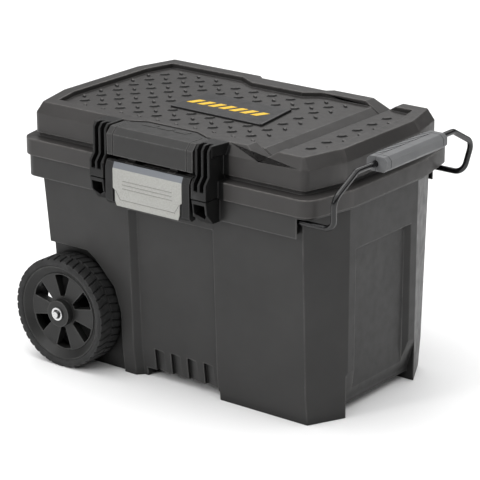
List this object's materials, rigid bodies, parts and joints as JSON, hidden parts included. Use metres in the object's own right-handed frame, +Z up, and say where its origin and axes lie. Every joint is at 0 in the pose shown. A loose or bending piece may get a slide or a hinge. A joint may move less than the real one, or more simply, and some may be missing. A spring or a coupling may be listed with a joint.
{
  "type": "wheeled tool chest",
  "caption": "Moulded tool chest with a hinged lid, a metal-faced front latch, two wheels on an axle at one end and a sliding bent-rod pull handle at the other.",
  "frame": {"origin": "on the floor, under the middle of the whole chest with its handle pushed in", "axes": "+X along the length towards the pull handle, +Y towards the rear hinges, +Z up"},
  "size_m": [0.6266, 0.4174, 0.418],
  "materials": {
    "tub_plastic": "fine moulded grain",
    "lid_plastic": "fine moulded grain",
    "trim_plastic": "smooth satin",
    "badge": "smooth, low gloss",
    "latch_metal": "fine bead-blasted",
    "steel": "zinc plated",
    "black_steel": "glossy black",
    "wheel_plastic": "satin moulded",
    "tyre_rubber": "moulded tread",
    "grip_plastic": "soft matte"
  },
  "bodies": {
    "tub": {"tub": "tub_plastic", "axle": "steel", "axle_washers": "steel", "axle_push_nuts": "steel", "hinge_pin_left": "steel", "hinge_pin_right": "steel", "handle_guide_front": "trim_plastic", "handle_guide_rear": "trim_plastic", "guide_screws": "steel"},
    "lid": {"lid": "lid_plastic", "latch_cover": "trim_plastic", "badge_plate": "badge", "latch_pin": "steel"},
    "latch": {"latch_frame": "trim_plastic", "latch_plate": "latch_metal"},
    "front_wheel": {"front_wheel": "wheel_plastic", "front_tyre": "tyre_rubber"},
    "rear_wheel": {"rear_wheel": "wheel_plastic", "rear_tyre": "tyre_rubber"},
    "handle": {"handle_rod": "black_steel", "grip_inner_half": "grip_plastic", "grip_outer_half": "grip_plastic", "grip_screws": "steel", "handle_stops": "trim_plastic"}
  },
  "joints": [
    {"name": "lid_hinge", "type": "hinge", "parent": "tub", "child": "lid", "pos_m": [-0.02225, 0.19875, 0.345], "axis": [-1, 0, 0], "range_deg": [0, 100]},
    {"name": "latch_hinge", "type": "hinge", "parent": "lid", "child": "latch", "pos_m": [-0.02225, -0.19765, 0.3635], "axis": [-1, 0, 0], "range_deg": [0, 95]},
    {"name": "front_wheel_spin", "type": "hinge", "parent": "tub", "child": "front_wheel", "pos_m": [-0.21995, -0.16575, 0.089], "axis": [0, 1, 0], "continuous": true},
    {"name": "rear_wheel_spin", "type": "hinge", "parent": "tub", "child": "rear_wheel", "pos_m": [-0.21995, 0.17625, 0.089], "axis": [0, 1, 0], "continuous": true},
    {"name": "handle_slide", "type": "slide", "parent": "tub", "child": "handle", "axis": [1, 0, 0], "range_m": [0, 0.36]}
  ]
}
